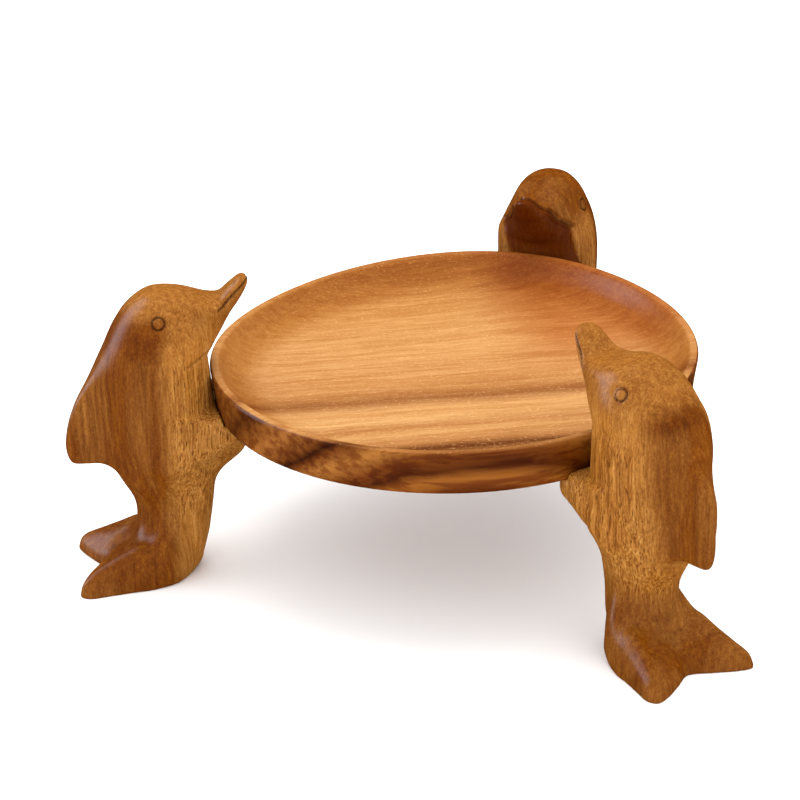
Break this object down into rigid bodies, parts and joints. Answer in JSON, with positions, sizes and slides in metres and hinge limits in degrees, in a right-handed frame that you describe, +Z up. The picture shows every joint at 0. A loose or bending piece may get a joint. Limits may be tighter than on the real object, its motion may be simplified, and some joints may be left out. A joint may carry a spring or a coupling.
{
  "type": "carved wooden bowl",
  "caption": "Shallow round wooden bowl held up at its rim by carved dolphins that stand on their flukes and look in over the edge.",
  "frame": {"origin": "on the bowl's vertical axis, on the level plane that the dolphins' flukes stand on", "axes": "+Z up along the bowl's axis; the bowl is round, and the dolphins stand close to a third of a turn apart, on bearings of -52.6, 69.3 and 185.8 degrees from +X"},
  "size_m": [0.4164, 0.4496, 0.1952],
  "materials": {
    "bowl_wood": "satin lacquered, light and dark streaked grain",
    "dolphin_wood": "satin lacquered, mid brown with fine dark pores",
    "dowel_wood": "plain turned dowel"
  },
  "bodies": {
    "root": {"bowl": "bowl_wood", "dolphin_left": "dolphin_wood", "dolphin_rear": "dolphin_wood", "dolphin_right": "dolphin_wood", "dowel_left": "dowel_wood", "dowel_rear": "dowel_wood", "dowel_right": "dowel_wood", "peg_a_left": "dowel_wood", "peg_a_rear": "dowel_wood", "peg_a_right": "dowel_wood", "peg_b_left": "dowel_wood", "peg_b_rear": "dowel_wood", "peg_b_right": "dowel_wood"}
  },
  "joints": []
}
